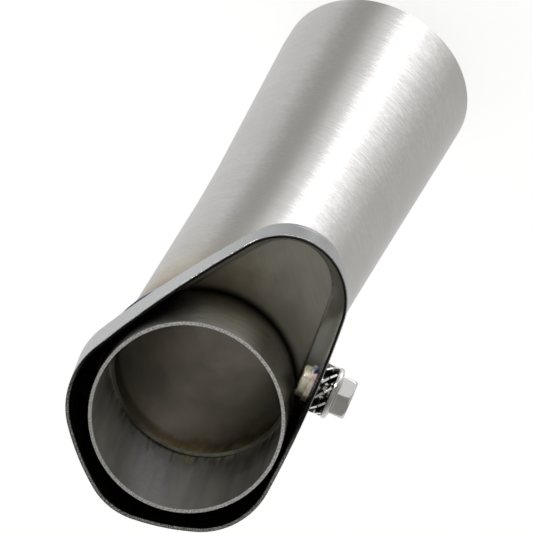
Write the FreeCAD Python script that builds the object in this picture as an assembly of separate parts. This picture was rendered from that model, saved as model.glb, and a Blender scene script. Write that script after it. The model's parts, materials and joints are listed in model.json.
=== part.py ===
import FreeCAD, Part
import math
import os

# Exhaust baffle insert, millimetres.
# It stands on the inlet end of its main tube. The origin is the centre of the
# inlet end, +Z runs up along the main tube, and the outlet leans towards +X.
# The fixing bolt is on the -Y side.

# Tubes and the bend between them
BEND_DEG = 25.75            # angle between outlet tube and main tube
OUTLET_R = 25.0             # outlet tube, outside
OUTLET_WALL = 0.9
MAIN_STEP = 1.15            # main tube smaller in radius than the outlet tube
MAIN_WALL = 0.9
MAIN_LENGTH = 135.0         # inlet end to the middle of the mitre joint
OUTLET_TAIL = 7.3           # outlet tube behind the plate, on its short side

# Expanded inlet end
INLET_SWELL = 1.75          # inlet end larger in radius than the main tube
INLET_SHIFT = 1.2           # the expanded end sits this much to the +Y side
INLET_LAND = 6.0            # straight stretch at the inlet end
FLARE_LENGTH = 56.0         # even taper above it
FLARE_EASE = 16.0           # the taper runs out over this length

# Collar outline, seen along the outlet: a kite with round corners, made of
# tangent arcs, the same on both sides of a line from base corner to apex
COLLAR_TURN_DEG = 2.4       # that line is turned this much against the bend
BASE_ROOM = 5.95            # outlet tube to the outline at the base corner
BASE_CORNER_R = 18.4
BASE_CORNER_TURN = 20.0     # half of what that corner turns through
BASE_SIDE_R = 63.3
SIDE_CORNER_R = 18.65
SIDE_ROOM = 2.38            # outlet tube to the outline on the long sides
SIDE_NEAR_DEG = 76.5        # where the long side comes nearest to the tube
LONG_SIDE_R = 283.0
APEX_R = 16.9

# Collar band: wall, sloping rim and rolled-in lip
COLLAR_SHEET = 0.85
RIM_DEPTH = 6.6             # collar rim behind the outlet rim, on the axis
RIM_SLOPE = 0.20            # the rim falls back towards the apex
WALL_HEIGHT = 19.4          # rim to the start of the lip, on the axis
LIP_R = 6.5                 # inside radius of the lip
LIP_RUN = 4.5               # how far the lip reaches in from the inner wall
LIP_PLAY = 0.15             # lip clear of the outlet tube where they meet
LIP_BEND_COUNT = 4          # the lip is rolled in this many narrow bends

# Back plate
PLATE_SHEET = 0.85
PLATE_GAP = 0.03            # plate behind the edge of the lip
PLATE_WEB = 0.6             # narrowest strip of plate beside the outlet tube

# Weld beads
JOINT_BEAD = 1.9            # length of the bead down the main tube
JOINT_BEAD_FOOT = 0.05      # thickness of its lower edge
PLATE_BEAD = 1.6            # leg of the bead behind the plate
SEAM_BEAD = 1.1             # thickness of the bead round the plate, at the lip
SEAM_BEAD_FOOT = 0.35       # and at the back of the plate
NUT_BEAD = 0.6

# Thread, weld nut and fixing bolt
THREAD_R = 3.0
SHANK_PLAY = 0.05           # shank clear of the nut's bore
HOLE_PLAY = 0.4             # holes in collar and lock washers round the shank
SEAT_GAP = 0.02             # between faces that are pressed together
BOLT_OFF_MIDDLE = 0.4       # bolt axis below the middle of the wall
NUT_ROOM = 0.7              # nut clear of the outlet tube
NUT_BASE_WALL = 1.85
NUT_BASE_H = 2.1
NUT_BOSS_WALL = 1.15
NUT_BOSS_H = 1.9
NUT_CHAMFER = 0.35
TIP_OUT = 0.2               # bolt end past the nut
TIP_CHAMFER = 0.6
HEX_AF = 10.0
HEX_H = 3.7
HEX_SPIN_DEG = 30.0
HEX_TAPER = 0.3             # corners turned down by this much over the head
HEX_CHAMFER = 0.6
FLANGE_OUT = 1.85           # flange past the flats of the head
FLANGE_EDGE = 1.5
FLANGE_CONE = 0.5
FLANGE_ROUND = 0.6
FLANGE_BEND_COUNT = 2       # narrow cones that round each edge of the flange

# Toothed lock washers
WASHER_COUNT = 2
WASHER_H = 1.6              # over the twisted teeth
WASHER_IN_FROM_FLANGE = 0.15
WASHER_RING = 1.3           # width of the flat ring
WASHER_SHEET = 0.6
WASHER_TEETH = 10
TOOTH_ROOT = 0.7            # teeth start this far inside the ring's edge
TOOTH_W = 2.3
TOOTH_TWIST_DEG = -38.0

# Sizes that follow from those above
V = FreeCAD.Vector
UP = V(0, 0, 1)
FAR = 400.0                 # past everything
PAST = 5.0                  # how far a cutting body runs past what it cuts
HALF_BEND = math.radians(BEND_DEG) / 2.0
MAIN_R = OUTLET_R - MAIN_STEP
LIP_OUT_R = LIP_R + COLLAR_SHEET
LIP_INSET = COLLAR_SHEET + LIP_RUN
LIP_REST = max(LIP_OUT_R - LIP_INSET, 0.0)
WALL_DEPTH = RIM_DEPTH + WALL_HEIGHT
LIP_BACK = WALL_DEPTH + math.sqrt(LIP_OUT_R ** 2 - LIP_REST ** 2)
PLATE_INSET = SIDE_ROOM - PLATE_WEB
PLATE_FRONT = LIP_BACK + PLATE_GAP
PLATE_BACK = PLATE_FRONT + PLATE_SHEET
OUTLET_LENGTH = PLATE_BACK + OUTLET_TAIL + OUTLET_R * math.tan(HALF_BEND)
CLEAR_R = THREAD_R + HOLE_PLAY
NUT_BASE_R = THREAD_R + NUT_BASE_WALL
NUT_BOSS_R = THREAD_R + NUT_BOSS_WALL
INNER_WALL_R = LONG_SIDE_R - COLLAR_SHEET
NUT_FOOT_R = NUT_BASE_R + NUT_BEAD
NUT_SAG = INNER_WALL_R - math.sqrt(INNER_WALL_R ** 2 - NUT_FOOT_R ** 2)
NUT_TOP = -(COLLAR_SHEET + NUT_SAG + SEAT_GAP)
NUT_STEP = NUT_TOP - NUT_BASE_H
NUT_END = NUT_STEP - NUT_BOSS_H
FLANGE_R = HEX_AF / 2.0 + FLANGE_OUT
FLANGE_SEAT = SEAT_GAP * (WASHER_COUNT + 1) + WASHER_H * WASHER_COUNT
WASHER_R = FLANGE_R - WASHER_IN_FROM_FLANGE
WASHER_RING_R = CLEAR_R + WASHER_RING

# The outlet's own axes: Z points out of the outlet rim, the origin is the
# centre of that rim, and X lies in the plane of the bend. The collar's axes
# are the same, turned about Z.
JOINT = V(0, -INLET_SHIFT, MAIN_LENGTH)
TILT = FreeCAD.Rotation(V(0, 1, 0), BEND_DEG)
RIM_CENTRE = JOINT + TILT.multVec(UP) * OUTLET_LENGTH
OUTLET_AXES = FreeCAD.Placement(RIM_CENTRE, TILT)
TURN = FreeCAD.Rotation(UP, -COLLAR_TURN_DEG)
COLLAR_AXES = OUTLET_AXES.multiply(FreeCAD.Placement(V(0, 0, 0), TURN))


def cylinder(radius, z0, z1, y=0.0):
    return Part.makeCylinder(radius, z1 - z0, V(0, y, z0), UP)


def circle_wire(radius, y, z):
    return Part.Wire([Part.makeCircle(radius, V(0, y, z), UP)])


def placed(shape, axes):
    moved = shape.copy()
    moved.transformShape(axes.toMatrix())
    return moved


def edges_at(shape, z):
    return [edge for edge in shape.Edges if abs(edge.BoundBox.ZMax - z) < 1e-6]


# A quarter turn of that radius in even bends: (in from the side, along it)
def quarter_turn(radius, bends):
    turns = [math.radians(90.0 * i / bends) for i in range(bends + 1)]
    return [(radius * (1.0 - math.cos(turn)), radius * math.sin(turn)) for turn in turns]


# Everything on the outlet's side of the mitre plane, or on the inlet's side.
def mitre_half(outlet_side):
    start = 0.0 if outlet_side else -FAR
    box = Part.makeBox(FAR, FAR, FAR, V(-FAR / 2, -FAR / 2, start))
    box.rotate(V(0, 0, 0), V(0, 1, 0), math.degrees(HALF_BEND))
    box.translate(JOINT)
    return box


# Main tube
def main_body(inset):
    top_z = MAIN_LENGTH + MAIN_R * math.tan(HALF_BEND) + PAST
    ease_start = INLET_LAND + FLARE_LENGTH
    ease_end = ease_start + FLARE_EASE
    share = (FLARE_EASE / 2.0) / (FLARE_LENGTH + FLARE_EASE / 2.0)
    r_top = MAIN_R - inset
    r_low = r_top + INLET_SWELL
    r_ease = r_top + INLET_SWELL * share
    y_ease = -INLET_SHIFT * (1.0 - share)
    low_wire = circle_wire(r_low, 0.0, INLET_LAND)
    ease_wire = circle_wire(r_ease, y_ease, ease_start)
    top_wire = circle_wire(r_top, -INLET_SHIFT, ease_end)
    land = cylinder(r_low, 0.0, INLET_LAND)
    taper = Part.makeLoft([low_wire, ease_wire], True, True)
    ease = Part.makeLoft([ease_wire, top_wire], True, True)
    upper = cylinder(r_top, ease_end, top_z, -INLET_SHIFT)
    return land.fuse([taper, ease, upper])


def main_tube():
    shell = main_body(0.0).cut(main_body(MAIN_WALL))
    return shell.cut(mitre_half(True))


# Outlet tube
def outlet_tube():
    back = -(OUTLET_LENGTH + OUTLET_R * math.tan(HALF_BEND) + PAST)
    outside = cylinder(OUTLET_R, back, 0.0)
    bore = cylinder(OUTLET_R - OUTLET_WALL, back - PAST, PAST)
    return placed(outside.cut(bore), OUTLET_AXES).cut(mitre_half(False))


# Bead round the mitre joint, from the outlet tube's edge down the main tube
def mitre_ellipse(radius, drop):
    along = V(math.cos(HALF_BEND), 0, -math.sin(HALF_BEND))
    centre = JOINT - V(0, 0, drop)
    long_end = centre + along * (radius / math.cos(HALF_BEND))
    curve = Part.Ellipse(long_end, centre + V(0, radius, 0), centre)
    return Part.Wire([curve.toShape()])


def joint_weld():
    upper = mitre_ellipse(OUTLET_R, 0.0)
    lower = mitre_ellipse(MAIN_R + JOINT_BEAD_FOOT, JOINT_BEAD)
    bead = Part.makeLoft([upper, lower], True, True)
    return bead.cut(cylinder(MAIN_R, 0.0, MAIN_LENGTH + FAR, -INLET_SHIFT))


# Collar outline. An arc is (centre x, centre y, radius, from, to); a direction
# of 0 degrees points from the centre to the base side, 180 to the apex.
def direction(centre, other):
    return math.atan2(other[1] - centre[1], centre[0] - other[0])


# Centre of an arc tangent inside two others.
def centre_between(first, first_r, second, second_r, radius):
    d1 = first_r - radius
    d2 = second_r - radius
    gap_x = second[0] - first[0]
    gap_y = second[1] - first[1]
    gap = math.hypot(gap_x, gap_y)
    along = (d1 ** 2 - d2 ** 2 + gap ** 2) / (2.0 * gap)
    aside = math.sqrt(d1 ** 2 - along ** 2)
    x = first[0] + (gap_x * along - gap_y * aside) / gap
    y = first[1] + (gap_y * along + gap_x * aside) / gap
    return (x, y)


def outline_arcs():
    base_turn = math.radians(BASE_CORNER_TURN)
    base = (-(OUTLET_R + BASE_ROOM) + BASE_CORNER_R, 0.0)
    lead = BASE_SIDE_R - BASE_CORNER_R
    base_side = (base[0] + lead * math.cos(base_turn), -lead * math.sin(base_turn))
    near = math.radians(SIDE_NEAR_DEG)
    reach = LONG_SIDE_R - (OUTLET_R + SIDE_ROOM)
    long_side = (-reach * math.cos(near), -reach * math.sin(near))
    corner = centre_between(long_side, LONG_SIDE_R, base_side, BASE_SIDE_R, SIDE_CORNER_R)
    apex_run = math.sqrt((LONG_SIDE_R - APEX_R) ** 2 - long_side[1] ** 2)
    apex = (long_side[0] + apex_run, 0.0)
    turn_1 = direction(base_side, corner)
    turn_2 = direction(long_side, corner)
    turn_3 = direction(long_side, apex)
    return [
        (base, BASE_CORNER_R, 0.0, base_turn),
        (base_side, BASE_SIDE_R, base_turn, turn_1),
        (corner, SIDE_CORNER_R, turn_1, turn_2),
        (long_side, LONG_SIDE_R, turn_2, turn_3),
        (apex, APEX_R, turn_3, math.pi),
    ]


def on_arc(arc, heading, side, inset):
    centre, radius = arc[0], arc[1] - inset
    x = centre[0] - radius * math.cos(heading)
    y = centre[1] + radius * math.sin(heading)
    return V(x, y * side, 0.0)


def arc_through(arc, stops, inset):
    points = [on_arc(arc, heading, side, inset) for heading, side in stops]
    return Part.Arc(*points).toShape()


def arc_beside(arc, side, inset):
    middle = (arc[2] + arc[3]) / 2.0
    return arc_through(arc, [(arc[2], side), (middle, side), (arc[3], side)], inset)


def outline_wire(inset, z):
    arcs = outline_arcs()
    base = arcs[0]
    apex = arcs[-1]
    edges = [arc_through(base, [(base[3], -1), (0.0, 1), (base[3], 1)], inset)]
    for arc in arcs[1:-1]:
        edges.append(arc_beside(arc, 1, inset))
    edges.append(arc_through(apex, [(apex[2], 1), (math.pi, 1), (apex[2], -1)], inset))
    for arc in reversed(arcs[1:-1]):
        edges.append(arc_beside(arc, -1, inset))
    wire = Part.Wire(Part.sortEdges(edges)[0])
    wire.translate(V(0, 0, z))
    return wire


def outline_solid(inset, z0, z1):
    return Part.Face(outline_wire(inset, z0)).extrude(V(0, 0, z1 - z0))


# A block of that outline with its lower edge rolled in.
def rolled_solid(inset, radius):
    wires = [outline_wire(inset, PAST + inset)]
    for step_in, step_down in quarter_turn(radius, LIP_BEND_COUNT):
        wires.append(outline_wire(inset + step_in, -(WALL_DEPTH + step_down)))
    return Part.makeLoft(wires, True, True)


COLLAR_OUTSIDE = rolled_solid(0.0, LIP_OUT_R)


# The fixing on one long side: Z points out of the collar wall and starts on
# its outer face. The nut's inner corner stays clear of the outlet tube, which
# sets how far along the wall the fixing sits.
def fixing_axes():
    long_side = outline_arcs()[3]
    centre, radius = long_side[0], long_side[1]
    depth = radius + NUT_END
    corner_reach = math.hypot(depth, NUT_BOSS_R)
    clear = OUTLET_R + NUT_ROOM
    off = math.hypot(centre[0], centre[1])
    cosine = (clear ** 2 - off ** 2 - corner_reach ** 2) / (2.0 * corner_reach * off)
    corner_heading = math.atan2(centre[1], -centre[0]) + 2.0 * math.pi - math.acos(cosine)
    heading = corner_heading + math.atan2(NUT_BOSS_R, depth)
    point = on_arc(long_side, heading, -1, 0.0)
    rim = RIM_DEPTH + RIM_SLOPE * point.x
    point.z = -((rim + WALL_DEPTH) / 2.0 + BOLT_OFF_MIDDLE)
    outward = V(-math.cos(heading), -math.sin(heading), 0.0)
    return FreeCAD.Placement(point, FreeCAD.Rotation(UP, outward))


FIXING_AXES = fixing_axes()


# Collar: wall and rolled-in lip from one sheet, with a rim cut on a slope.
# The outlet tube passes through the lip at the base.
def collar():
    inside = rolled_solid(COLLAR_SHEET, LIP_R)
    window = outline_solid(LIP_INSET, -(WALL_DEPTH + LIP_OUT_R + PAST), 0.0)
    tube_way = cylinder(OUTLET_R + LIP_PLAY, -(WALL_DEPTH + LIP_OUT_R + PAST), PAST)
    front = Part.makeBox(FAR, FAR, FAR, V(-FAR / 2, -FAR / 2, 0.0))
    front.rotate(V(0, 0, 0), V(0, 1, 0), math.degrees(math.atan(RIM_SLOPE)))
    front.translate(V(0, 0, -RIM_DEPTH))
    hole = placed(cylinder(CLEAR_R, NUT_TOP - PAST, PAST), FIXING_AXES)
    return COLLAR_OUTSIDE.cut([inside, window, tube_way, front, hole])


# Back plate behind the lip, with the hole for the outlet tube
def back_plate():
    plate = outline_solid(PLATE_INSET, -PLATE_BACK, -PLATE_FRONT)
    return plate.cut(cylinder(OUTLET_R, -PLATE_BACK - PAST, -PLATE_FRONT + PAST))


# Bead between the edge of the plate and the back of the lip
def seam_weld():
    foot = outline_wire(PLATE_INSET - SEAM_BEAD_FOOT, -PLATE_BACK)
    head = outline_wire(PLATE_INSET - SEAM_BEAD, -WALL_DEPTH)
    block = Part.makeLoft([foot, head], True, True)
    plate_room = outline_solid(PLATE_INSET, -PLATE_BACK - PAST, -WALL_DEPTH + PAST)
    return block.cut([plate_room, COLLAR_OUTSIDE])


# Bead behind the plate, round the outlet tube
def plate_weld():
    foot = V(0, 0, -(PLATE_BACK + PLATE_BEAD))
    cone = Part.makeCone(OUTLET_R, OUTLET_R + PLATE_BEAD, PLATE_BEAD, foot, UP)
    return cone.cut(cylinder(OUTLET_R, foot.z - PAST, 0.0))


# Weld nut inside the wall: wide base, narrower boss, chamfered end
def weld_nut():
    base = cylinder(NUT_BASE_R, NUT_STEP, NUT_TOP)
    boss = cylinder(NUT_BOSS_R, NUT_END, NUT_STEP)
    boss = boss.makeChamfer(NUT_CHAMFER, edges_at(boss, NUT_END))
    bore = cylinder(THREAD_R, NUT_END - PAST, NUT_TOP + PAST)
    return base.fuse(boss).cut(bore).removeSplitter()


def nut_weld():
    foot = V(0, 0, NUT_TOP - NUT_BEAD)
    cone = Part.makeCone(NUT_BASE_R, NUT_FOOT_R, NUT_BEAD, foot, UP)
    return cone.cut(cylinder(NUT_BASE_R, foot.z - PAST, NUT_TOP + PAST))


# Toothed lock washer: a flat ring and twisted teeth, cut to one height
def lock_washer(place):
    low = SEAT_GAP + place * (WASHER_H + SEAT_GAP)
    middle = low + WASHER_H / 2.0
    root = WASHER_RING_R - TOOTH_ROOT
    tooth_end = math.sqrt(WASHER_R ** 2 - (TOOTH_W / 2) ** 2)
    pitch = 360.0 / WASHER_TEETH
    body = cylinder(WASHER_RING_R, middle - WASHER_SHEET / 2, middle + WASHER_SHEET / 2)
    for i in range(WASHER_TEETH):
        corner = V(root, -TOOTH_W / 2, -WASHER_SHEET / 2)
        tooth = Part.makeBox(tooth_end - root, TOOTH_W, WASHER_SHEET, corner)
        tooth.rotate(V(0, 0, 0), V(1, 0, 0), TOOTH_TWIST_DEG)
        tooth.translate(V(0, 0, middle))
        tooth.rotate(V(0, 0, 0), UP, pitch * (i + place / WASHER_COUNT))
        body = body.fuse(tooth)
    keep = cylinder(WASHER_R + PAST, low, low + WASHER_H)
    bore = cylinder(CLEAR_R, low - PAST, low + WASHER_H + PAST)
    return body.common(keep).cut(bore).removeSplitter()


# Flange bolt: shank, rounded flange, and a hexagon with turned-down corners
def hexagon_head(low, top):
    corner = HEX_AF / 2.0 / math.cos(math.radians(30.0))
    points = []
    for i in range(7):
        heading = math.radians(HEX_SPIN_DEG + 60.0 * i)
        points.append(V(corner * math.cos(heading), corner * math.sin(heading), low))
    block = Part.Face(Part.makePolygon(points)).extrude(V(0, 0, top - low))
    shoulder = top - HEX_CHAMFER
    taper_r = corner - HEX_TAPER
    taper = Part.makeCone(corner, taper_r, shoulder - low, V(0, 0, low), UP)
    chamfer = Part.makeCone(taper_r, taper_r - HEX_CHAMFER, HEX_CHAMFER, V(0, 0, shoulder), UP)
    return block.common(taper.fuse(chamfer))


# The flange and the low cone up to the hexagon, turned from one profile
def round_flange(edge_top):
    turn = quarter_turn(FLANGE_ROUND, FLANGE_BEND_COUNT)
    crown = FLANGE_ROUND
    upper = [V(FLANGE_R - i, 0, edge_top - crown + up) for i, up in turn]
    lower = [V(FLANGE_R - i, 0, FLANGE_SEAT + crown - up) for i, up in reversed(turn)]
    cone_top = edge_top + FLANGE_CONE
    inner = [V(HEX_AF / 2.0, 0, cone_top), V(0, 0, cone_top), V(0, 0, FLANGE_SEAT)]
    points = lower + upper + inner
    profile = Part.Face(Part.makePolygon(points + points[:1]))
    return profile.revolve(V(0, 0, 0), UP, 360.0)


def flange_bolt():
    shank = cylinder(THREAD_R - SHANK_PLAY, NUT_END - TIP_OUT, FLANGE_SEAT)
    shank = shank.makeChamfer(TIP_CHAMFER, edges_at(shank, NUT_END - TIP_OUT))
    edge_top = FLANGE_SEAT + FLANGE_EDGE
    head = hexagon_head(edge_top - FLANGE_ROUND, edge_top + FLANGE_CONE + HEX_H)
    return shank.fuse([round_flange(edge_top), head]).removeSplitter()


def on_fixing(shape):
    return placed(placed(shape, FIXING_AXES), COLLAR_AXES)


nodes = {
    "main_tube": main_tube(),
    "outlet_tube": outlet_tube(),
    "joint_weld": joint_weld(),
    "collar": placed(collar(), COLLAR_AXES),
    "back_plate": placed(back_plate(), COLLAR_AXES),
    "seam_weld": placed(seam_weld(), COLLAR_AXES),
    "plate_weld": placed(plate_weld(), COLLAR_AXES),
    "weld_nut": on_fixing(weld_nut()),
    "nut_weld": on_fixing(nut_weld()),
    "flange_bolt": on_fixing(flange_bolt()),
}
for place in range(WASHER_COUNT):
    nodes["lock_washer_" + str(place + 1)] = on_fixing(lock_washer(place))

os.makedirs("parts", exist_ok=True)
for name, shape in nodes.items():
    shape.exportStep("parts/" + name + ".step")
    state = "valid" if shape.isValid() else "NOT VALID"
    low = round(shape.BoundBox.ZMin, 2)
    high = round(shape.BoundBox.ZMax, 2)
    print(name, state, "solids", len(shape.Solids), "volume", round(shape.Volume, 1), "z", low, high)

fixing = COLLAR_AXES.multiply(FIXING_AXES)
print("outlet rim centre", RIM_CENTRE)
print("fixing point", fixing.Base, "outward", fixing.Rotation.multVec(UP), "flange at", FLANGE_SEAT)
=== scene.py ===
import json
import math

import bpy
from mathutils import Matrix, Vector

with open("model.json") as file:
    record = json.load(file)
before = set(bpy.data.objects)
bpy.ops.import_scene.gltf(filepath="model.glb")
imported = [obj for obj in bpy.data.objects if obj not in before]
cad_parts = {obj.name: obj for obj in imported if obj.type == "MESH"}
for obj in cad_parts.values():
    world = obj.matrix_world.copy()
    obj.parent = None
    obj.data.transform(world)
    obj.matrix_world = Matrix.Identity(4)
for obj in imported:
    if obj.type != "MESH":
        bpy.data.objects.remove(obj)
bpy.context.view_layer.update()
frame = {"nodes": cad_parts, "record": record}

# Looks of the exhaust baffle insert. Lengths are in metres, in the part's own
# frame: it stands on the inlet end of its main tube, and the outlet leans to +X.
MM = 0.001


def mount(name):
    """The place and the direction of one of the part's mounts."""
    found = next(m for m in frame["record"]["mounts"] if m["name"] == name)
    return Vector(found["pos_m"]), Vector(found["axis"]).normalized()


# Places on the insert
RIM_CENTRE, OUTLET_AXIS = mount("outlet_mouth")
BOLT_TOP, BOLT_AXIS = mount("fixing_bolt")
TO_APEX = BOLT_AXIS.cross(OUTLET_AXIS).normalized()    # along the bolt's wall, to the apex
if TO_APEX.x < 0.0:
    TO_APEX.negate()
MAIN_AXIS = Vector((0.0, 0.0, 1.0))
BEND = math.acos(OUTLET_AXIS.z)
MITRE_NORMAL = Vector((math.sin(BEND / 2), 0.0, math.cos(BEND / 2)))
JOINT = RIM_CENTRE - OUTLET_AXIS * (RIM_CENTRE.x / OUTLET_AXIS.x)    # middle of the mitre
OUTLET_RADIUS = 25.0 * MM
COLLAR_TURN = math.radians(-2.4)    # the collar's outline is turned about the outlet
RIM_DEPTH = 6.6 * MM                # collar's rim behind the outlet's, on the axis
RIM_SLOPE = 0.20                    # how steeply that rim falls back towards the apex
LIP_EDGE_Z = -32.15 * MM            # edge of the collar's lip, from the outlet's rim
IN_PLATE_Z = -33.6 * MM             # between the two faces of the back plate

# Camera: a long lens that looks almost along the outlet tube
CAMERA_RIGHT = Vector((0.50967, -0.79111, -0.33821))
CAMERA_UP = Vector((0.57528, 0.60566, -0.54975))
CAMERA_BACK = CAMERA_RIGHT.cross(CAMERA_UP).normalized()
CAMERA_FROM_RIM = (0.020187, 0.038119, 4.0404)    # along right, up and back
CAMERA_REACH = 20.0
LENS_MM = 1080.7
SENSOR_MM = 36.0


def seen(right, up, back):
    """A direction given along the camera's axes."""
    return (CAMERA_RIGHT * right + CAMERA_UP * up + CAMERA_BACK * back).normalized()


def from_rim(right, up, back):
    """A place given from the middle of the outlet's rim, along the camera's axes."""
    return RIM_CENTRE + CAMERA_RIGHT * right + CAMERA_UP * up + CAMERA_BACK * back


def put_in_scene(name, data):
    thing = bpy.data.objects.new(name, data)
    bpy.context.scene.collection.objects.link(thing)
    return thing


def make_camera():
    data = bpy.data.cameras.new("Camera")
    data.lens = LENS_MM
    data.sensor_width = SENSOR_MM
    data.clip_end = CAMERA_REACH
    camera = put_in_scene("Camera", data)
    turn = Matrix((CAMERA_RIGHT, CAMERA_UP, CAMERA_BACK)).transposed()
    camera.matrix_world = Matrix.Translation(from_rim(*CAMERA_FROM_RIM)) @ turn.to_4x4()
    bpy.context.scene.camera = camera


# Shader building
MIX_A, MIX_B, MIX_RESULT = 6, 7, 2    # the Mix node's colour sockets


class Nodes:
    """A node tree with short ways to add and join nodes."""

    def __init__(self, tree):
        self.tree = tree
        tree.nodes.clear()

    def add(self, kind, inputs=None, **settings):
        node = self.tree.nodes.new("ShaderNode" + kind)
        for name, value in settings.items():
            setattr(node, name, value)
        for name, value in (inputs or {}).items():
            self.put(node.inputs[name], value)
        return node

    def put(self, socket, value):
        if isinstance(value, bpy.types.NodeSocket):
            self.tree.links.new(value, socket)
        else:
            socket.default_value = value

    def maths(self, operation, a, b=0.0, clamp=False):
        node = self.add("Math", {0: a, 1: b}, operation=operation, use_clamp=clamp)
        return node.outputs[0]

    def plus(self, a, b):
        return self.maths("ADD", a, b)

    def minus(self, a, b):
        return self.maths("SUBTRACT", a, b)

    def times(self, a, b):
        return self.maths("MULTIPLY", a, b)

    def absolute(self, a):
        return self.maths("ABSOLUTE", a)

    def vector(self, operation, a, b):
        return self.add("VectorMath", {0: a, 1: b}, operation=operation).outputs[0]

    def dot(self, a, b):
        node = self.add("VectorMath", {0: a, 1: b}, operation="DOT_PRODUCT")
        return node.outputs["Value"]

    def component(self, vector, letter):
        return self.add("SeparateXYZ", {0: vector}).outputs[letter]

    def geometry(self, what):
        return self.add("NewGeometry").outputs[what]

    def fade(self, value, start, end, low=0.0, high=1.0):
        """Goes smoothly from low at start to high at end."""
        inputs = {"Value": value, "From Min": start, "From Max": end, "To Min": low, "To Max": high}
        return self.add("MapRange", inputs, interpolation_type="SMOOTHSTEP").outputs[0]

    def choose(self, mask, off, on):
        """The value off where the mask is 0, and on where it is 1."""
        return self.fade(mask, 0.0, 1.0, off, on)

    def mix(self, factor, a, b, blend="MIX"):
        node = self.add("Mix", data_type="RGBA", blend_type=blend)
        self.put(node.inputs["Factor"], factor)
        self.put(node.inputs[MIX_A], a)
        self.put(node.inputs[MIX_B], b)
        return node.outputs[MIX_RESULT]

    def blend(self, value, start, end, a, b):
        """Goes smoothly from colour a at start to colour b at end."""
        return self.mix(self.fade(value, start, end), a, b)

    def tinted(self, colour, tint):
        return self.mix(1.0, colour, tint, "MULTIPLY")

    def ramp(self, value, stops):
        """Colours at values from 0 to 1."""
        node = self.add("ValToRGB", {"Fac": value})
        elements = node.color_ramp.elements
        elements[0].position, elements[0].color = stops[0]
        elements[-1].position, elements[-1].color = stops[-1]
        for position, colour in stops[1:-1]:
            elements.new(position).color = colour
        return node.outputs["Color"]

    def bands(self, distance, reach, stops):
        """Colours at distances, the last of them no further than reach."""
        share = self.maths("DIVIDE", distance, reach, clamp=True)
        return self.ramp(share, [(at / reach, colour) for at, colour in stops])

    def noise(self, vector, scale, detail=3.0, roughness=0.55):
        inputs = {"Vector": vector, "Scale": scale, "Detail": detail, "Roughness": roughness}
        return self.add("TexNoise", inputs).outputs["Fac"]

    def streaks(self, vector, scales, detail=3.0, roughness=0.55):
        """Noise with a scale of its own along each axis."""
        stretched = self.add("Mapping", {"Vector": vector, "Scale": scales}).outputs[0]
        return self.noise(stretched, 1.0, detail, roughness)


# Most values of a noise lie between 0.3 and 0.7. These ranges of it are faded over.
WHOLE, USUAL, MIDDLE, UPPER = (0.2, 0.8), (0.3, 0.7), (0.35, 0.65), (0.35, 0.75)
BEVEL_SAMPLES = 6
LINES_ROUND_Z = 0.25               # turn of the brushed reflections, as a share of a full turn
INNER_WALL = (-4 * MM, -8 * MM)    # a wall that faces its axis from at least this far off
WHITE = (1, 1, 1, 1)


def grey(value, warm=0.0):
    """Warm is how far it leans to yellow, or to blue where it is below 0."""
    return (value * (1 + warm), value, value * (1 - warm), 1.0)


def axes_of(n, kind):
    """Texture coordinates in metres, along the axes of one part of the insert.
    The outlet's and the collar's start at the middle of the outlet's rim, with
    Z along the outlet tube."""
    place = n.add("TexCoord").outputs["Object"]
    if kind == "main":
        return place
    outlet = n.add("Mapping", {"Vector": place, "Location": RIM_CENTRE,
                               "Rotation": (0.0, BEND, 0.0)}, vector_type="TEXTURE").outputs[0]
    if kind == "outlet":
        return outlet
    return n.add("Mapping", {"Vector": outlet, "Rotation": (0.0, 0.0, COLLAR_TURN)},
                 vector_type="TEXTURE").outputs[0]


def mottle(n, vector, base, tint, warm, scale=60.0):
    """An almost even colour with soft cloudy variation."""
    cloud = n.noise(vector, scale)
    return n.mix(cloud, grey(base * (1 - tint), warm), grey(base * (1 + tint), warm))


def below_joint(n):
    """Distance from the mitre joint's plane, down the main tube."""
    return n.minus(JOINT.dot(MITRE_NORMAL), n.dot(axes_of(n, "main"), MITRE_NORMAL))


def above_joint(n):
    """The same distance, counted up the outlet tube."""
    return n.times(below_joint(n), -1.0)


def from_line(n, place, point, axis):
    """Distance from a line."""
    across = n.vector("CROSS_PRODUCT", n.vector("SUBTRACT", place, point), axis)
    return n.add("VectorMath", {0: across}, operation="LENGTH").outputs["Value"]


def outward(n, normal, point, axis):
    """How far a normal points away from an axis, times the distance from it."""
    off = n.vector("SUBTRACT", n.geometry("Position"), point)
    along = n.times(n.dot(off, axis), n.dot(normal, axis))
    return n.minus(n.dot(off, normal), along)


def is_inside(n, point, axis):
    """1 on a tube's inner wall, which faces its axis, and 0 elsewhere on it."""
    return n.fade(outward(n, n.geometry("True Normal"), point, axis), *INNER_WALL)


def swung(n, axis, amount):
    """The surface's normal, swung round an axis by a small amount."""
    normal = n.geometry("Normal")
    side = n.vector("CROSS_PRODUCT", axis, normal)
    push = n.add("VectorMath", {0: side, "Scale": amount}, operation="SCALE").outputs[0]
    pushed = n.vector("ADD", normal, push)
    return n.add("VectorMath", {0: pushed}, operation="NORMALIZE").outputs[0]


def rounded(n, radius):
    """The surface's normal, rounded over at edges."""
    return n.add("Bevel", {"Radius": radius}, samples=BEVEL_SAMPLES).outputs[0]


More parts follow.
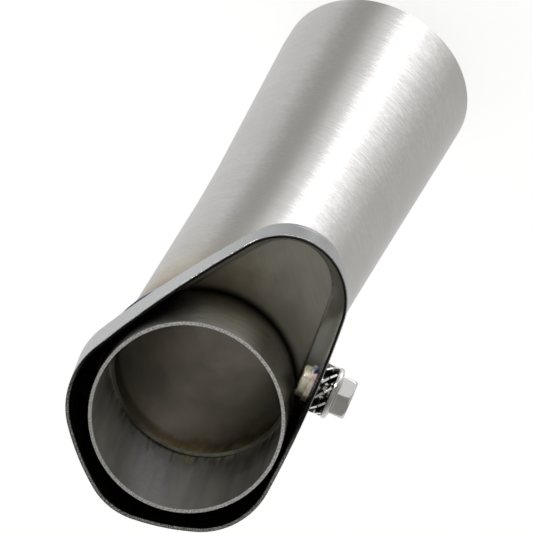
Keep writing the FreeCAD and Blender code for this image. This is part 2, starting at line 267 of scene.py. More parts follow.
def steel(name, build, brushed=0.0):
    """Bare metal. build gives its colour, roughness and height from the nodes,
    and may give the normal that the height is added to and how metallic it is.
    brushed is how strongly lines round the Z axis spread the reflections."""
    material = bpy.data.materials.new(name)
    material.use_nodes = True
    n = Nodes(material.node_tree)
    look = build(n)
    bump = n.add("Bump", {"Height": look["height"], "Strength": 1.0, "Distance": look["depth"]})
    if "normal" in look:
        n.put(bump.inputs["Normal"], look["normal"])
    inputs = {"Metallic": look.get("metal", 1.0), "Base Color": look["colour"],
              "Roughness": look["roughness"], "Normal": bump.outputs[0],
              "Anisotropic": brushed, "Anisotropic Rotation": LINES_ROUND_Z}
    shader = n.add("BsdfPrincipled", inputs)
    if brushed:
        tangent = n.add("Tangent", direction_type="RADIAL", axis="Z")
        n.put(shader.inputs["Tangent"], tangent.outputs[0])
    n.put(n.add("OutputMaterial").inputs["Surface"], shader.outputs[0])
    return material


# In the finishes, a pair of places or of noise values is where a fade starts and ends,
# and a pair of roughnesses is what it goes from and to. A SHARE is how much of a
# colour shows, and a RELIEF is the depth of the finest grain.

# Main tube
TUBE_GRAIN, TUBE_LINES = (650.0, 650.0, 4200.0), (90.0, 90.0, 1500.0)    # noise scales on X, Y, Z
TUBE_PATCHES, TUBE_RAGGED = (60.0, 60.0, 90.0), (260.0, 260.0, 70.0)
TUBE_CLOUDS = 45.0
TUBE_ROUGHNESS, INSIDE_ROUGHER = (0.27, 0.37), 0.16
TUBE_RELIEF, INSIDE_RELIEF = 0.005 * MM, 0.25    # depth of the grain, and its share inside
TUBE_SWING, INSIDE_SWING = 0.22, 0.05            # how far the grain swings the normal
TUBE_DARK, TUBE_LIGHT, TUBE_PATCH = grey(0.60, 0.012), grey(0.69, 0.012), grey(0.58, 0.03)
LINES_SHARE, PATCHES_SHARE = 0.3, 0.35
HEAT_REACH = 40 * MM
HEAT_COLOURS = [    # outside, by the distance down from the joint
    (0.0, (0.50, 0.52, 0.60, 1)), (1.8 * MM, (0.34, 0.42, 0.62, 1)), (3.6 * MM, (0.66, 0.56, 0.44, 1)),
    (8.0 * MM, (0.86, 0.79, 0.65, 1)), (16.0 * MM, (0.96, 0.94, 0.88, 1)), (32.0 * MM, WHITE),
]
SCORCH_REACH, SCORCH_RAGGED = 16 * MM, 2.2 * MM
SCORCH_COLOURS = [    # inside, by the same distance
    (0.0, (0.62, 0.54, 0.38, 1)), (1.6 * MM, (0.46, 0.36, 0.20, 1)), (4.16 * MM, (0.30, 0.24, 0.16, 1)),
    (8.0 * MM, (0.43, 0.38, 0.32, 1)), (16.0 * MM, (0.46, 0.43, 0.385, 1)),
]
SCORCH_SIDE = (0.54, -0.84, 0.0)     # to the right in the picture, where the scorch is widest
SCORCH_SPREAD = (-14 * MM, 6 * MM)   # it spreads between these places on the way there
SCORCH_NARROWING = 2.3               # and is this many times narrower at the left
CLOUD_DARK, CLOUD_LIGHT = (0.76, 0.77, 0.78, 1), (1.12, 1.09, 1.05, 1)
TO_SIDES = (6 * MM, 21 * MM)
# painted light: the inside is lighter towards its sides
TUBE_MIDDLE, TUBE_SIDES_LIT = grey(1.05), (1.42, 1.50, 1.54, 1)
CORNER_TOP, CORNER_BY_JOINT = (-8 * MM, 0.0), (5 * MM, 2.5 * MM)
CORNER_DARK = (0.17, 0.155, 0.12, 1)
HIGHLIGHT_BAND_SIDE = CAMERA_UP * 0.857 - CAMERA_RIGHT * 0.514    # across the painted highlight band inside
HIGHLIGHT_BAND_OFF, HIGHLIGHT_BAND_EDGE = 2.9 * MM, (2 * MM, 9 * MM)        # its middle from the rim's, and its edge
HIGHLIGHT_BAND, BESIDE_HIGHLIGHT_BAND = grey(1.16, 0.01), grey(0.94)
LEDGE_FACING, LEDGE_METAL = (0.90, 0.97), 0.3
LEDGE_DARK, LEDGE_LIGHT = (0.60, 0.58, 0.44, 1), (0.95, 0.95, 0.86, 1)
LEDGE_TO_RIGHT, LEDGE_RIGHT = (7 * MM, 19 * MM), (0.22, 0.21, 0.17, 1)
LEDGE_TO_TOP, LEDGE_TOP = (-7 * MM, -1 * MM), (0.20, 0.19, 0.15, 1)


def tube_outside(n, place, grain, lines):
    """Brushed steel with dull patches, tinted by heat beside the joint."""
    patches = n.streaks(place, TUBE_PATCHES)
    colour = n.blend(grain, *USUAL, TUBE_DARK, TUBE_LIGHT)
    colour = n.mix(n.fade(lines, *UPPER, 0.0, LINES_SHARE), colour, TUBE_DARK)
    colour = n.mix(n.fade(patches, *UPPER, 0.0, PATCHES_SHARE), colour, TUBE_PATCH)
    return n.tinted(colour, n.bands(below_joint(n), HEAT_REACH, HEAT_COLOURS))


def tube_inside(n, place, ragged, to_right, to_top):
    """Scorched beside the joint, then cloudy, painted lighter towards the sides, with one painted highlight
    band across it.
    """
    down = below_joint(n)
    reach = n.times(down, n.fade(to_right, *SCORCH_SPREAD, SCORCH_NARROWING, 1.0))
    reach = n.plus(reach, n.fade(ragged, *USUAL, -SCORCH_RAGGED, SCORCH_RAGGED))
    colour = n.bands(reach, SCORCH_REACH, SCORCH_COLOURS)
    clouds = n.noise(place, TUBE_CLOUDS)
    colour = n.tinted(colour, n.blend(clouds, *MIDDLE, CLOUD_DARK, CLOUD_LIGHT))
    # painted light towards the sides
    off_middle = n.absolute(n.component(place, "Y"))
    colour = n.tinted(colour, n.blend(off_middle, *TO_SIDES, TUBE_MIDDLE, TUBE_SIDES_LIT))
    # darker in the corner at the top, beside the joint
    corner = n.times(n.fade(to_top, *CORNER_TOP), n.fade(down, *CORNER_BY_JOINT))
    colour = n.mix(corner, colour, CORNER_DARK)
    # painted highlight: a lighter band across the inside
    across = n.dot(n.vector("SUBTRACT", place, RIM_CENTRE), HIGHLIGHT_BAND_SIDE)
    off_highlight_band = n.absolute(n.minus(across, HIGHLIGHT_BAND_OFF))
    return n.tinted(colour, n.blend(off_highlight_band, *HIGHLIGHT_BAND_EDGE, HIGHLIGHT_BAND, BESIDE_HIGHLIGHT_BAND))


def ledge_colour(n, ragged, to_right, to_top):
    """The tube's end at the joint, which shows as a ledge inside the outlet."""
    colour = n.blend(ragged, *MIDDLE, LEDGE_DARK, LEDGE_LIGHT)
    colour = n.blend(to_right, *LEDGE_TO_RIGHT, colour, LEDGE_RIGHT)
    return n.blend(to_top, *LEDGE_TO_TOP, colour, LEDGE_TOP)


def tube_steel(n):
    place = axes_of(n, "main")
    grain = n.streaks(place, TUBE_GRAIN, roughness=0.6)
    lines = n.streaks(place, TUBE_LINES, roughness=0.6)
    ragged = n.streaks(place, TUBE_RAGGED, detail=6.0, roughness=0.75)
    to_right = n.dot(place, SCORCH_SIDE)
    to_top = n.dot(n.vector("SUBTRACT", place, RIM_CENTRE), CAMERA_UP)
    inner_wall = is_inside(n, JOINT, MAIN_AXIS)
    ledge = n.fade(n.dot(n.geometry("True Normal"), MITRE_NORMAL), *LEDGE_FACING)
    walls = n.mix(inner_wall, tube_outside(n, place, grain, lines),
                  tube_inside(n, place, ragged, to_right, to_top))
    colour = n.mix(ledge, walls, ledge_colour(n, ragged, to_right, to_top))
    roughness = n.plus(n.fade(lines, *WHOLE, *TUBE_ROUGHNESS), n.times(inner_wall, INSIDE_ROUGHER))
    height = n.times(grain, n.choose(inner_wall, 1.0, INSIDE_RELIEF))
    swing = n.times(n.minus(grain, 0.5), n.choose(inner_wall, TUBE_SWING, INSIDE_SWING))
    return {"colour": colour, "roughness": roughness, "height": height, "depth": TUBE_RELIEF,
            "normal": swung(n, MAIN_AXIS, swing), "metal": n.choose(ledge, 1.0, LEDGE_METAL)}


# Outlet tube
OUTLET_GRAIN, OUTLET_BRUSH = (500.0, 500.0, 3000.0), (140.0, 140.0, 3600.0)
OUTLET_STREAKS, OUTLET_RAGGED = (300.0, 300.0, 18.0), (480.0, 480.0, 30.0)
OUTLET_SCRATCHES, RIM_GRIT = (700.0, 700.0, 14.0), 2400.0
OUTLET_ROUGHNESS, RIM_ROUGHER = (0.28, 0.42), 0.25
OUTLET_RELIEF = 0.005 * MM
OUTLET_SWING, OUTLET_INSIDE_SWING = 0.25, 0.03
OUTLET_DARK, OUTLET_LIGHT = (0.15, 0.135, 0.105, 1), (0.28, 0.265, 0.22, 1)
BRUSH_CONTRAST, SHEEN_CONTRAST = (0.38, 0.60), (0.36, 0.58)
SHADED_SIDE = (0.17, 0.98, 0.0)     # painted shade beside the collar's wall that is away from the bolt
TO_SHADED, SHADED = (13 * MM, 21 * MM), grey(0.09, 0.06)
SHEEN_SIDE = (0.914, 0.407, 0.0)    # where a sheen is painted on the tube outside, a painted highlight
TO_SHEEN = (OUTLET_RADIUS - 5 * MM, OUTLET_RADIUS - 0.2 * MM)
SHEEN_LEVEL, SHEEN_WHERE_SHADED = (-28 * MM, -9 * MM), 0.2
SHEEN_DARK, SHEEN_LIGHT = (0.72, 0.70, 0.63, 1), (1.0, 0.99, 0.93, 1)
# painted shade in the crease where the tube meets the plate
CREASE_SHADE_LEVEL, CREASE_SHADE = (-33 * MM, -24 * MM), grey(0.02, 0.1)
STAIN_REACH, STAIN_RAGGED = 16 * MM, 4.0 * MM
BEHIND_COLOURS = [    # outside behind the plate, by the distance up from the joint
    (0.0, (0.30, 0.34, 0.44, 1)), (1.92 * MM, (0.24, 0.30, 0.46, 1)), (3.84 * MM, (0.44, 0.37, 0.28, 1)),
    (8.0 * MM, (0.54, 0.50, 0.42, 1)), (16.0 * MM, (0.60, 0.585, 0.55, 1)),
]
BEHIND_LEVEL = (IN_PLATE_Z - 0.2 * MM, IN_PLATE_Z + 0.2 * MM)
STAIN_COLOURS = [    # inside, by the same distance
    (0.0, (0.66, 0.58, 0.38, 1)), (1.6 * MM, (0.54, 0.47, 0.30, 1)), (3.84 * MM, (0.42, 0.39, 0.31, 1)),
    (6.72 * MM, (0.36, 0.365, 0.38, 1)), (16.0 * MM, (0.56, 0.555, 0.54, 1)),
]
SEAM_ABOVE_JOINT, SEAM_DARK = (0.15 * MM, 0.45 * MM), grey(0.05, 0.1)
STREAK_CONTRAST, STREAK_SHARE, STREAK_DARK = (0.38, 0.68), 0.5, (0.30, 0.305, 0.32, 1)
SCRATCH_CONTRAST, SCRATCH_SHARE, SCRATCH_DARK = (0.49, 0.60), 0.75, (0.10, 0.095, 0.08, 1)
SCRATCHED_REACH = (11 * MM, 4 * MM)
INSIDE_SHADE_SIDE = (-0.998, -0.070, 0.0)    # where shade is painted on the tube inside
TO_INSIDE_SHADE = (19 * MM, 24.3 * MM)
UNSHADED_TINT, INSIDE_SHADE_TINT = (1.52, 1.55, 1.58, 1), (0.45, 0.46, 0.48, 1)
RIM_LEVEL, RIM_CONTRAST = (-0.06 * MM, -0.02 * MM), (0.36, 0.58)
RIM_DARK, RIM_LIGHT = grey(0.58, 0.01), grey(0.98, 0.01)


def outlet_outside(n, place, level):
    """Brownish steel with brush lines, a painted sheen on one side, painted shade beside the collar's wall
    and in the crease at the plate, and bare behind it.
    """
    brush = n.streaks(place, OUTLET_BRUSH, detail=4.0, roughness=0.65)
    colour = n.blend(brush, *BRUSH_CONTRAST, OUTLET_DARK, OUTLET_LIGHT)
    # painted shade beside the collar's wall
    shaded = n.fade(n.dot(place, SHADED_SIDE), *TO_SHADED)
    colour = n.mix(shaded, colour, SHADED)
    # painted highlight: a sheen on one side, weaker where shade is painted
    sheen = n.times(n.fade(n.dot(place, SHEEN_SIDE), *TO_SHEEN), n.fade(level, *SHEEN_LEVEL))
    sheen = n.times(sheen, n.choose(shaded, 1.0, SHEEN_WHERE_SHADED))
    colour = n.mix(sheen, colour, n.blend(brush, *SHEEN_CONTRAST, SHEEN_DARK, SHEEN_LIGHT))
    # painted shade, darkening the tube towards the plate
    colour = n.blend(level, *CREASE_SHADE_LEVEL, CREASE_SHADE, colour)
    behind = n.bands(above_joint(n), STAIN_REACH, BEHIND_COLOURS)
    return n.blend(level, *BEHIND_LEVEL, behind, colour)


def outlet_inside(n, place):
    """Stained and scratched beside the joint, with a dark seam at it, and painted shade on one side."""
    up = above_joint(n)
    ragged = n.streaks(place, OUTLET_RAGGED, detail=5.0, roughness=0.7)
    reach = n.plus(up, n.fade(ragged, *USUAL, -STAIN_RAGGED, STAIN_RAGGED))
    colour = n.bands(reach, STAIN_REACH, STAIN_COLOURS)
    colour = n.blend(up, *SEAM_ABOVE_JOINT, SEAM_DARK, colour)
    streaks = n.streaks(place, OUTLET_STREAKS, detail=2.0)
    colour = n.mix(n.fade(streaks, *STREAK_CONTRAST, 0.0, STREAK_SHARE), colour, STREAK_DARK)
    scratches = n.fade(n.streaks(place, OUTLET_SCRATCHES), *SCRATCH_CONTRAST)
    scratches = n.times(scratches, n.fade(reach, *SCRATCHED_REACH, 0.0, SCRATCH_SHARE))
    colour = n.mix(scratches, colour, SCRATCH_DARK)
    # painted shade on one side of the inside
    return n.tinted(colour, n.blend(n.dot(place, INSIDE_SHADE_SIDE), *TO_INSIDE_SHADE, UNSHADED_TINT, INSIDE_SHADE_TINT))


def outlet_steel(n):
    place = axes_of(n, "outlet")
    level = n.component(place, "Z")    # 0 at the rim, negative behind it
    grain = n.streaks(place, OUTLET_GRAIN, roughness=0.6)
    grit = n.noise(place, RIM_GRIT, detail=2.0)
    inner_wall = is_inside(n, RIM_CENTRE, OUTLET_AXIS)
    rim = n.fade(level, *RIM_LEVEL)
    walls = n.mix(inner_wall, outlet_outside(n, place, level), outlet_inside(n, place))
    colour = n.mix(rim, walls, n.blend(grit, *RIM_CONTRAST, RIM_DARK, RIM_LIGHT))
    roughness = n.plus(n.fade(grain, *USUAL, *OUTLET_ROUGHNESS), n.times(rim, RIM_ROUGHER))
    swing = n.times(n.minus(grain, 0.5), n.choose(inner_wall, OUTLET_SWING, OUTLET_INSIDE_SWING))
    return {"colour": colour, "roughness": roughness, "height": grain, "depth": OUTLET_RELIEF,
            "normal": swung(n, OUTLET_AXIS, swing)}


# Collar
COLLAR_CLOUDS, CUT_GRIT, LIP_SHADOW_WAVES = 250.0, 4200.0, 700.0    # noise scales
COLLAR_ROUGHNESS, CUT_ROUGHER, MATT_ROUGHER = (0.27, 0.28), 0.2, 0.3
COLLAR_RELIEF, MATT_METAL = 0.00005 * MM, 0.25
OUTSIDE_GREY, OUTSIDE_TINT, OUTSIDE_WARMTH = 0.42, 0.03, -0.012
# painted shade: the outside darkens towards the apex
NEAR_APEX, APEX_SHADE = (24 * MM, 44 * MM), grey(0.31, -0.02)
OPEN_FROM = (20 * MM, 30 * MM)      # towards the apex, where the wall inside is painted pale as painted light
OPEN_SOONER = 7 * MM                # on the side away from the bolt, it begins sooner
AWAY_FROM_BOLT = (2 * MM, 14 * MM)
# painted shade beside the outlet, painted light on the open side
CLOSE_SIDE_SHADE, OPEN_SIDE_LIGHT = grey(0.34, 0.04), (0.55, 0.535, 0.49, 1)
NUT_HEAT_REACH = 10 * MM
NUT_HEAT_COLOURS = [    # on the wall, by the distance from the bolt's axis
    (5.0 * MM, (0.95, 0.60, 0.50, 1)), (5.7 * MM, (0.45, 0.92, 1.0, 1)), (6.4 * MM, (0.14, 0.24, 0.80, 1)),
    (7.2 * MM, (0.07, 0.06, 0.20, 1)), (8.5 * MM, (0.40, 0.34, 0.24, 1)), (10.0 * MM, (0.66, 0.64, 0.57, 1)),
]
BURNT_RING, BURNT_ALONG = (9.5 * MM, 7.5 * MM), (22 * MM, 24 * MM)
WALL_LEVEL, DEEP_SHADE_TINT, FRONT_LIGHT_TINT = (-30 * MM, -23 * MM), grey(0.66), grey(1.66)
# painted shade on the lip, which faces along the outlet
LIP_FACING, LIP_SHADE = (0.35, 0.9), (0.40, 0.39, 0.35, 1)
# painted shadow in the crevice along the lip's edge
LIP_SHADOW_WAVE, LIP_SHADOW_WIDTH = (-0.10 * MM, 0.06 * MM), 0.16 * MM
LIP_SHADOW_SIDE, LIP_SHADOW_SHARE, LIP_SHADOW = (1 * MM, -5 * MM), 0.4, grey(0.03, 0.1)
CUT_BEHIND_RIM = (-0.05 * MM, -0.01 * MM)
ROUNDED_BEHIND_RIM, EDGE_ROUND, CUT_ROUND = (-0.7 * MM, -0.5 * MM), 0.35 * MM, 0.45 * MM
CUT_AWAY_FROM_BOLT, CUT_SOONER = (4 * MM, 18 * MM), 22 * MM
CUT_TO_APEX = (2 * MM, 16 * MM)
OUTER_HALF, OUTER_HALF_SHIFT = (9 * MM, 17 * MM), 8 * MM
CUT_CONTRAST, CUT_GRIT_DARK, CUT_GRIT_LIGHT = (0.40, 0.66), grey(0.14), grey(0.80)
# painted shade in black and dark, and a painted glint
CUT_SHADE_BLACK, CUT_SHADE_DARK, CUT_GLINT = grey(0.02), grey(0.05), grey(1.0)


def collar_outside(n, place, along):
    """Even grey steel, with painted shade darker towards the apex."""
    even = mottle(n, place, OUTSIDE_GREY, OUTSIDE_TINT, OUTSIDE_WARMTH)
    return n.blend(along, *NEAR_APEX, even, APEX_SHADE)


def collar_inside(n, place, along, open_side):
    """Painted shade, dark beside the outlet, and painted light, pale on the open side, where it is also
    darker deep in the wall and lighter at its front; with heat tint at the nut.
    """
    colour = n.mix(open_side, CLOSE_SIDE_SHADE, OPEN_SIDE_LIGHT)
    near_nut = from_line(n, axes_of(n, "main"), BOLT_TOP, BOLT_AXIS)
    tint = n.bands(near_nut, NUT_HEAT_REACH, NUT_HEAT_COLOURS)
    burnt = n.times(n.fade(near_nut, *BURNT_RING), n.fade(along, *BURNT_ALONG))
    colour = n.mix(burnt, colour, tint)
    # painted shade deep in the wall, painted light at its front
    shade = n.blend(n.component(place, "Z"), *WALL_LEVEL, DEEP_SHADE_TINT, FRONT_LIGHT_TINT)
    return n.mix(open_side, colour, n.tinted(colour, shade))


def lip_edge_shadow(n, place, sideways):
    """How much of the uneven painted shadow line at the lip's edge shows, on the bolt's side."""
    uneven = n.fade(n.noise(place, LIP_SHADOW_WAVES, detail=2.0), *USUAL, *LIP_SHADOW_WAVE)
    level = n.plus(n.component(place, "Z"), uneven)
    line = n.fade(level, LIP_EDGE_Z + LIP_SHADOW_WIDTH, LIP_EDGE_Z)
    return n.times(line, n.fade(sideways, *LIP_SHADOW_SIDE, 0.0, LIP_SHADOW_SHARE))


def cut_edge(n, place, along, sideways):
    """Bare and gritty round the outlet, its outer half a dark painted shade. Towards the apex its inner half
    is black painted shade and its outer half a painted glint that catches the light."""
    on_way = n.plus(along, n.fade(sideways, *CUT_AWAY_FROM_BOLT, 0.0, CUT_SOONER))
    to_apex = n.fade(on_way, *CUT_TO_APEX)
    out = outward(n, rounded(n, CUT_ROUND), RIM_CENTRE, OUTLET_AXIS)
    out = n.plus(out, n.fade(on_way, *CUT_TO_APEX, OUTER_HALF_SHIFT, 0.0))
    grit = n.noise(place, CUT_GRIT, detail=1.0)
    grit = n.blend(grit, *CUT_CONTRAST, CUT_GRIT_DARK, CUT_GRIT_LIGHT)
    inner_half = n.mix(to_apex, grit, CUT_SHADE_BLACK)
    outer_half = n.mix(to_apex, CUT_SHADE_DARK, CUT_GLINT)
    return n.blend(out, *OUTER_HALF, inner_half, outer_half)


def collar_steel(n):
    place = axes_of(n, "collar")
    along = n.component(place, "X")       # towards the apex
    sideways = n.component(place, "Y")    # away from the bolt
    cloud = n.noise(place, COLLAR_CLOUDS, detail=2.0)
    to_rim = n.plus(n.dot(place, (RIM_SLOPE, 0.0, 1.0)), RIM_DEPTH)    # 0 at the cut edge
    cut = n.fade(to_rim, *CUT_BEHIND_RIM)
    inner_wall = is_inside(n, RIM_CENTRE, OUTLET_AXIS)
    reach = n.plus(along, n.fade(sideways, *AWAY_FROM_BOLT, 0.0, OPEN_SOONER))
    open_side = n.fade(reach, *OPEN_FROM)
    matt = n.times(inner_wall, open_side)
    lip = n.fade(n.dot(n.geometry("True Normal"), OUTLET_AXIS), *LIP_FACING)
    colour = n.mix(inner_wall, collar_outside(n, place, along),
                   collar_inside(n, place, along, open_side))
    # painted shade on the lip
    colour = n.mix(lip, colour, LIP_SHADE)
    # painted shadow along the lip's edge
    colour = n.mix(lip_edge_shadow(n, place, sideways), colour, LIP_SHADOW)
    colour = n.mix(cut, colour, cut_edge(n, place, along, sideways))
    roughness = n.plus(n.fade(cloud, *WHOLE, *COLLAR_ROUGHNESS), n.times(cut, CUT_ROUGHER))
    roughness = n.plus(roughness, n.times(matt, MATT_ROUGHER))
    by_rim = n.fade(to_rim, *ROUNDED_BEHIND_RIM)
    normal = n.mix(by_rim, n.geometry("Normal"), rounded(n, EDGE_ROUND))
    return {"colour": colour, "roughness": roughness, "height": cloud, "depth": COLLAR_RELIEF,
            "normal": normal, "metal": n.choose(matt, 1.0, MATT_METAL)}


# Back plate
PLATE_LINES, PLATE_CLOUDS = (2600.0, 160.0, 160.0), 120.0
LINES_TURN = math.radians(35)       # of the fine lines that the sheet was rolled with
PLATE_ROUGHNESS, PLATE_RELIEF = (0.34, 0.42), 0.001 * MM
PLATE_LIT_SIDE = (1.0, -0.7, 0.0)       # where the plate's painted shade thins out
TO_PLATE_LIT, SHADE_WAVE = (12 * MM, 46 * MM), 3 * MM
# painted shade across the plate, from its shaded colour to its lit colour
PLATE_SHADED, PLATE_LIT = (0.22, 0.185, 0.135, 1), (0.60, 0.575, 0.515, 1)
PLATE_LINE_SHARE, PLATE_LINE = 0.12, grey(0.20, 0.05)
# painted black shadow in the corner round the outlet tube
BY_OUTLET, PLATE_CREASE_SHADOW = (OUTLET_RADIUS, OUTLET_RADIUS + 2.2 * MM), grey(0.012, 0.1)


def plate_steel(n):
    """Brown steel, with painted shade that darkens it beside the outlet tube, and a painted black shadow in
    the corner round it.
    """
    place = axes_of(n, "collar")
    turned = n.add("Mapping", {"Vector": place, "Rotation": (0, 0, LINES_TURN)}).outputs[0]
    lines = n.streaks(turned, PLATE_LINES)
    clouds = n.noise(place, PLATE_CLOUDS, detail=2.0)
    # painted shade, darkest by the outlet tube and on the side away from the bolt
    across = n.plus(n.dot(place, PLATE_LIT_SIDE), n.fade(clouds, *USUAL, -SHADE_WAVE, SHADE_WAVE))
    colour = n.blend(across, *TO_PLATE_LIT, PLATE_SHADED, PLATE_LIT)
    colour = n.mix(n.fade(lines, *USUAL, 0.0, PLATE_LINE_SHARE), colour, PLATE_LINE)
    off_axis = from_line(n, place, (0, 0, 0), MAIN_AXIS)
    # painted shadow: black in the corner round the outlet tube
    colour = n.blend(off_axis, *BY_OUTLET, PLATE_CREASE_SHADOW, colour)
    roughness = n.fade(lines, *WHOLE, *PLATE_ROUGHNESS)
    return {"colour": colour, "roughness": roughness, "height": lines, "depth": PLATE_RELIEF}


# Welds
BEAD_RIPPLES, BEAD_TINTS = 900.0, 120.0    # noise scales
BEAD_ROUGHNESS, BEAD_RELIEF = (0.28, 0.45), 0.10 * MM
BEAD_COLOURS = [(0.30, (0.34, 0.32, 0.28, 1)), (0.50, (0.46, 0.46, 0.48, 1)), (0.70, (0.28, 0.36, 0.52, 1))]
NUT_BEAD_RIPPLES, NUT_BEAD_TINTS = 1400.0, 420.0
NUT_BEAD_ROUGHNESS, NUT_BEAD_RELIEF = (0.22, 0.34), 0.02 * MM
NUT_BEAD_COLOURS = [
    (0.35, (0.20, 0.42, 0.70, 1)), (0.50, (0.62, 0.40, 0.55, 1)), (0.65, (0.75, 0.62, 0.35, 1)),
]


def weld_bead(n):
    place = axes_of(n, "outlet")
    ripples = n.noise(place, BEAD_RIPPLES, detail=2.0)
    colour = n.ramp(n.noise(place, BEAD_TINTS), BEAD_COLOURS)
    roughness = n.fade(ripples, *USUAL, *BEAD_ROUGHNESS)
    return {"colour": colour, "roughness": roughness, "height": ripples, "depth": BEAD_RELIEF}


def nut_weld_bead(n):
    place = axes_of(n, "main")
    ripples = n.noise(place, NUT_BEAD_RIPPLES, detail=2.0)
    colour = n.ramp(n.noise(place, NUT_BEAD_TINTS), NUT_BEAD_COLOURS)
    roughness = n.fade(ripples, *USUAL, *NUT_BEAD_ROUGHNESS)
    return {"colour": colour, "roughness": roughness, "height": ripples, "depth": NUT_BEAD_RELIEF}


# Nut, washers and bolt
NUT_CLOUDS, NUT_GRAIN, NUT_TINTS = 300.0, 3000.0, 520.0    # noise scales
NUT_ROUGHNESS, NUT_METAL = (0.235, 0.245), (0.35, 0.75)
NUT_RELIEF, NUT_ROUND = 0.0001 * MM, 0.25 * MM
NUT_GOLD, NUT_PALE = (0.97, 0.87, 0.64, 1), (1.0, 0.97, 0.84, 1)
HEATED_SIDE, HEATED_FOOT = (1.6 * MM, 2.6 * MM), (-11.9 * MM, -11.2 * MM)    # from the bolt's top
NUT_TINT_COLOURS = [
    (0.40, (0.03, 0.03, 0.09, 1)), (0.50, (0.08, 0.13, 0.42, 1)),
    (0.56, (0.25, 0.78, 0.95, 1)), (0.62, (0.85, 0.45, 0.42, 1)),
]
WASHER_GRAIN, WASHER_ROUGHNESS = 2500.0, (0.12, 0.22)
WASHER_RELIEF, WASHER_ROUND = 0.002 * MM, 0.15 * MM
WASHER_GREY, WASHER_TINT, WASHER_WARMTH, WASHER_CLOUDS = 0.88, 0.05, 0.01, 500.0
GAP_EDGE, GAP_SHADE = (4.9 * MM, 6.2 * MM), grey(0.03)    # painted shade between the washers, from the bolt's axis
BOLT_GRAIN, BOLT_ROUGHNESS = 1800.0, (0.17, 0.23)
BOLT_RELIEF, BOLT_ROUND = 0.0005 * MM, 0.3 * MM
BOLT_GREY, BOLT_TINT, BOLT_WARMTH, BOLT_CLOUDS = 0.69, 0.04, 0.015, 400.0


def nut_steel(n):
    """Golden, with a patch of heat tint at its foot on the side of the apex."""
    place = axes_of(n, "main")
    cloud = n.noise(place, NUT_CLOUDS)
    grain = n.noise(place, NUT_GRAIN, detail=2.0)
    from_top = n.vector("SUBTRACT", place, BOLT_TOP)
    heated = n.times(n.fade(n.dot(from_top, TO_APEX), *HEATED_SIDE),
                     n.fade(n.dot(from_top, BOLT_AXIS), *HEATED_FOOT))
    tint = n.ramp(n.noise(place, NUT_TINTS, detail=1.0), NUT_TINT_COLOURS)
    colour = n.mix(heated, n.mix(cloud, NUT_GOLD, NUT_PALE), tint)
    roughness = n.fade(grain, *USUAL, *NUT_ROUGHNESS)
    return {"colour": colour, "roughness": roughness, "height": grain, "depth": NUT_RELIEF,
            "normal": rounded(n, NUT_ROUND), "metal": n.fade(cloud, *MIDDLE, *NUT_METAL)}


def washer_steel(n):
    place = axes_of(n, "main")
    grain = n.noise(place, WASHER_GRAIN, detail=2.0)
    bare = mottle(n, place, WASHER_GREY, WASHER_TINT, WASHER_WARMTH, WASHER_CLOUDS)
    off_axis = from_line(n, place, BOLT_TOP, BOLT_AXIS)
    # painted shade near the bolt, between the washers
    colour = n.blend(off_axis, *GAP_EDGE, GAP_SHADE, bare)
    roughness = n.fade(grain, *USUAL, *WASHER_ROUGHNESS)
    return {"colour": colour, "roughness": roughness, "height": grain, "depth": WASHER_RELIEF,
            "normal": rounded(n, WASHER_ROUND)}


def bolt_steel(n):
    place = axes_of(n, "main")
    grain = n.noise(place, BOLT_GRAIN)
    colour = mottle(n, place, BOLT_GREY, BOLT_TINT, BOLT_WARMTH, BOLT_CLOUDS)
    roughness = n.fade(grain, *USUAL, *BOLT_ROUGHNESS)
    return {"colour": colour, "roughness": roughness, "height": grain, "depth": BOLT_RELIEF,
            "normal": rounded(n, BOLT_ROUND)}


# Finishes by material slot, with how strongly each is brushed
FINISHES = {
    "tube_steel": (tube_steel, 0.7), "outlet_steel": (outlet_steel, 0.0),
    "collar_steel": (collar_steel, 0.0), "plate_steel": (plate_steel, 0.0),
    "weld_bead": (weld_bead, 0.0), "nut_steel": (nut_steel, 0.0),
    "nut_weld_bead": (nut_weld_bead, 0.0), "washer_steel": (washer_steel, 0.0),
    "bolt_steel": (bolt_steel, 0.0),
}
SMOOTH_BELOW = math.radians(32)    # edges flatter than this are shaded smooth
JOIN_WITHIN = 0.002 * MM           # corners this close become one


def dress_nodes():
    """Gives each node its finish, and smooth shading with sharp edges kept."""
    slot_of = {row["node"]: row["material_slot"] for row in frame["record"]["subparts"]}
    made = {slot: steel(slot + "_look", build, spread) for slot, (build, spread) in FINISHES.items()}
    for name, piece in frame["nodes"].items():
        piece.material_slots[0].material = made[slot_of[name]]
        weld = piece.modifiers.new("join", "WELD")
        weld.merge_threshold = JOIN_WITHIN
        piece.data.attributes.remove(piece.data.attributes["custom_normal"])    # even makes its own
        piece.data.shade_smooth()
        split = piece.modifiers.new("edges", "EDGE_SPLIT")
        split.split_angle = SMOOTH_BELOW
        split.use_edge_sharp = False
        even = piece.modifiers.new("even", "WEIGHTED_NORMAL")
        even.keep_sharp = True


# Light
def light(level, olive=0.0):
    """Olive is the share of blue that is missing from it."""
    return (level, level, level * (1 - olive), 1.0)


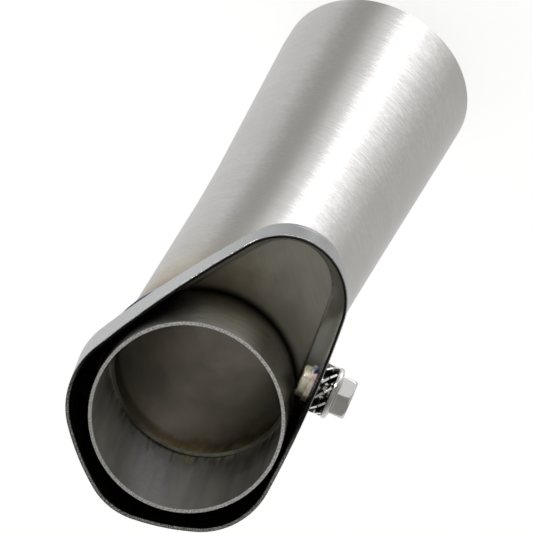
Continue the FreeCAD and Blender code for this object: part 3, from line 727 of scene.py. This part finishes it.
AHEAD, BEHIND_CAMERA = light(0.82), light(0.24, 0.08)
AHEAD_TO_BEHIND = (-0.75, 0.75)
ROOM_LOBES = [
    # direction along the camera's axes, degrees off it where full and where gone, colour
    ((0.80, 0.0, -0.60), 15, 45, light(0.62, 0.03)),
    ((0.62, 0.76, -0.17), 14, 42, light(1.08, 0.01)),
    ((-0.06, 0.93, -0.36), 3, 20, light(0.38, 0.10)),
    ((0.643, 0.740, -0.182), 10, 21, light(1.75)),
    ((0.545, 0.820, -0.175), 8, 13, light(3.0)),
    ((0.34, 0.80, 0.50), 10, 30, light(0.8)),
    ((0.0, 0.0, 1.0), 3, 15, light(0.5, 0.05)),
]
LAMP_TARGET = (0.0330, 0.0150, -0.018)    # just above the weld nut, given as CAMERA_FROM_RIM is
LAMP_SIDE = (-0.22, 0.70, 0.68)           # from the nut to the lamp
LAMP_AWAY = 0.5
LAMP_POWER = 56.0
LAMP_RADIUS = 0.05
LAMP_CONE = math.radians(3.6)


def make_world():
    """A soft room, bright beyond the insert and above it in the picture, and dark
    on the camera's side. The camera itself sees plain white."""
    world = bpy.data.worlds.new("Room")
    bpy.context.scene.world = world
    world.use_nodes = True
    n = Nodes(world.node_tree)
    look = n.add("TexCoord").outputs["Generated"]
    room = n.blend(n.dot(look, seen(0, 0, 1)), *AHEAD_TO_BEHIND, AHEAD, BEHIND_CAMERA)
    for direction, full, gone, colour in ROOM_LOBES:
        edges = (math.cos(math.radians(angle)) for angle in (gone, full))
        room = n.blend(n.dot(look, seen(*direction)), *edges, room, colour)
    room = n.add("Background", {"Color": room})
    white = n.add("Background", {"Color": WHITE})
    camera_ray = n.add("LightPath").outputs["Is Camera Ray"]
    both = n.add("MixShader", {0: camera_ray, 1: room.outputs[0], 2: white.outputs[0]})
    n.put(n.add("OutputWorld").inputs["Surface"], both.outputs[0])


def make_lamp():
    """A small soft lamp above, which reaches down beside the outlet to the nut."""
    data = bpy.data.lights.new("Nut lamp", "SPOT")
    data.energy = LAMP_POWER
    data.shadow_soft_size = LAMP_RADIUS
    data.spot_size = LAMP_CONE
    data.spot_blend = 1.0
    lamp = put_in_scene("Nut lamp", data)
    towards = seen(*LAMP_SIDE)
    turn = towards.to_track_quat("Z", "Y").to_matrix().to_4x4()
    lamp.matrix_world = Matrix.Translation(from_rim(*LAMP_TARGET) + towards * LAMP_AWAY) @ turn


# Floor
FLOOR_SIZE = 6.0
FLOOR_CLOUDS = 4.0
FLOOR_DARK, FLOOR_LIGHT = grey(0.93), grey(0.96)
FLOOR_GLOW = 0.70    # what the camera sees of the floor beside the light on it


def make_floor():
    """A pale matt floor that keeps the shadow. The camera sees a white glow on it."""
    half = FLOOR_SIZE / 2
    mesh = bpy.data.meshes.new("Floor")
    mesh.from_pydata([(-half, -half, 0), (half, -half, 0), (half, half, 0), (-half, half, 0)],
                     [], [(0, 1, 2, 3)])
    floor = put_in_scene("Floor", mesh)
    material = bpy.data.materials.new("floor_look")
    material.use_nodes = True
    n = Nodes(material.node_tree)
    place = n.add("TexCoord").outputs["Object"]
    paint = n.mix(n.noise(place, FLOOR_CLOUDS), FLOOR_DARK, FLOOR_LIGHT)
    matt = n.add("BsdfDiffuse", {"Color": paint})
    glow = n.add("Emission", {"Color": WHITE, "Strength": FLOOR_GLOW})
    lit = n.add("AddShader", {0: matt.outputs[0], 1: glow.outputs[0]})
    camera_ray = n.add("LightPath").outputs["Is Camera Ray"]
    both = n.add("MixShader", {0: camera_ray, 1: matt.outputs[0], 2: lit.outputs[0]})
    n.put(n.add("OutputMaterial").inputs["Surface"], both.outputs[0])
    mesh.materials.append(material)
    floor.visible_glossy = False
    floor.visible_shadow = False


bpy.context.scene.view_settings.view_transform = "Standard"
make_camera()
dress_nodes()
make_world()
make_lamp()
make_floor()
